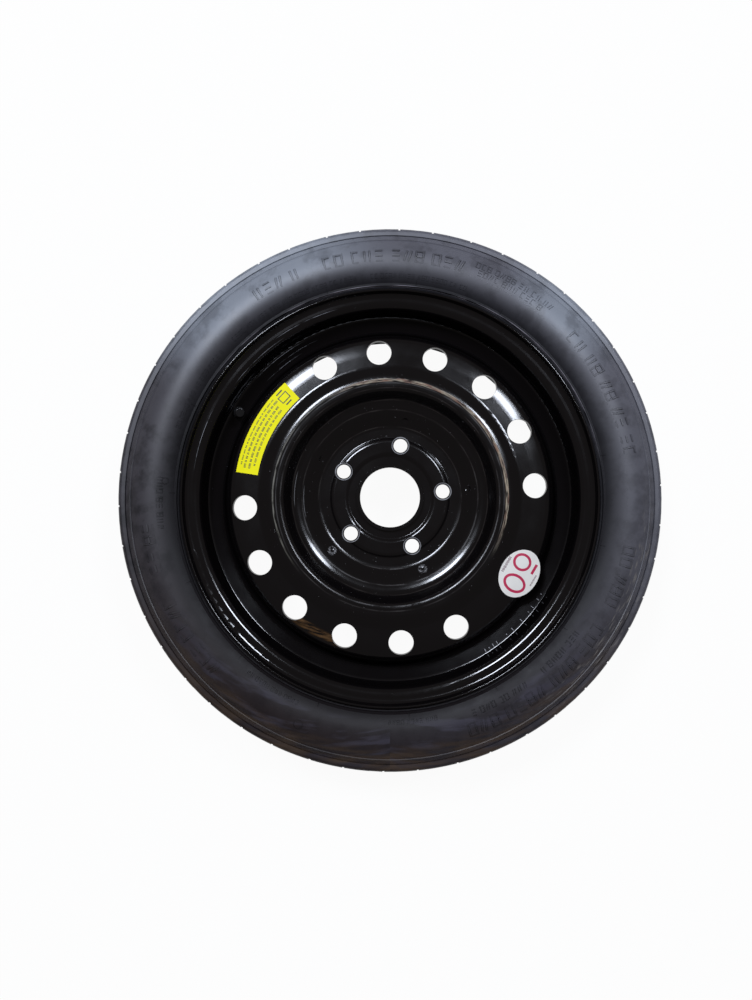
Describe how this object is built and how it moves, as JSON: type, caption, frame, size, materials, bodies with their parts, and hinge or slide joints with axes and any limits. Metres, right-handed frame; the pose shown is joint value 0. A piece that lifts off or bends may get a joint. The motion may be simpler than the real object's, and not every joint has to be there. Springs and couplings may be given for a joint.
{
  "type": "spare wheel",
  "caption": "Temporary spare car wheel: narrow tyre on a black pressed-steel rim and disc with a centre bore, stud holes, round vents and a capped snap-in valve.",
  "frame": {"origin": "centre of the wheel, on its axis midway between the rim's flanges", "axes": "+Z along the wheel's axis towards its outer face, +Y towards the valve; the wheel lies on its back"},
  "size_m": [0.582, 0.582, 0.1259],
  "materials": {
    "tyre_rubber": "moulded rubber, dusty grey",
    "black_paint": "gloss black paint on pressed steel, scuffed and rusted on its high ring",
    "valve_rubber": "moulded black rubber",
    "brass": "turned brass",
    "spring_steel": "drawn steel wire",
    "cap_plastic": "moulded black plastic",
    "yellow_film": "yellow self-adhesive film with small dark dashes",
    "white_film": "off-white self-adhesive film with red rings"
  },
  "bodies": {
    "wheel": {"tyre": "tyre_rubber", "rim": "black_paint", "wheel_disc": "black_paint", "disc_welds": "black_paint", "valve_rubber": "valve_rubber", "valve_stem": "brass", "core_plug": "brass", "core_barrel": "brass", "core_seal": "valve_rubber", "core_spring": "spring_steel", "yellow_label": "yellow_film", "oval_sticker": "white_film"},
    "core_pin": {"core_pin": "brass", "pin_washer": "valve_rubber"},
    "cap_seal": {"cap_seal": "valve_rubber"},
    "valve_cap": {"valve_cap": "cap_plastic"}
  },
  "joints": [
    {"name": "core_pin_press", "type": "slide", "parent": "wheel", "child": "core_pin", "axis": [0, 0.2756, -0.9613], "range_m": [0, 0.0012], "stiffness_N_per_m": 1000, "springref_m": -0.001, "deforming": ["core_spring"]},
    {"name": "cap_lift", "type": "slide", "parent": "wheel", "child": "cap_seal", "axis": [0, -0.2756, 0.9613], "range_m": [0, 0.0061]},
    {"name": "cap_turn", "type": "hinge", "parent": "cap_seal", "child": "valve_cap", "pos_m": [0, 0.18503, 0.04195], "axis": [0, -0.2756, 0.9613], "range_deg": [0, 2767]}
  ],
  "couplings": [
    {"joint": "cap_turn", "follows": "cap_lift", "rad_per_m": 7915.8}
  ]
}
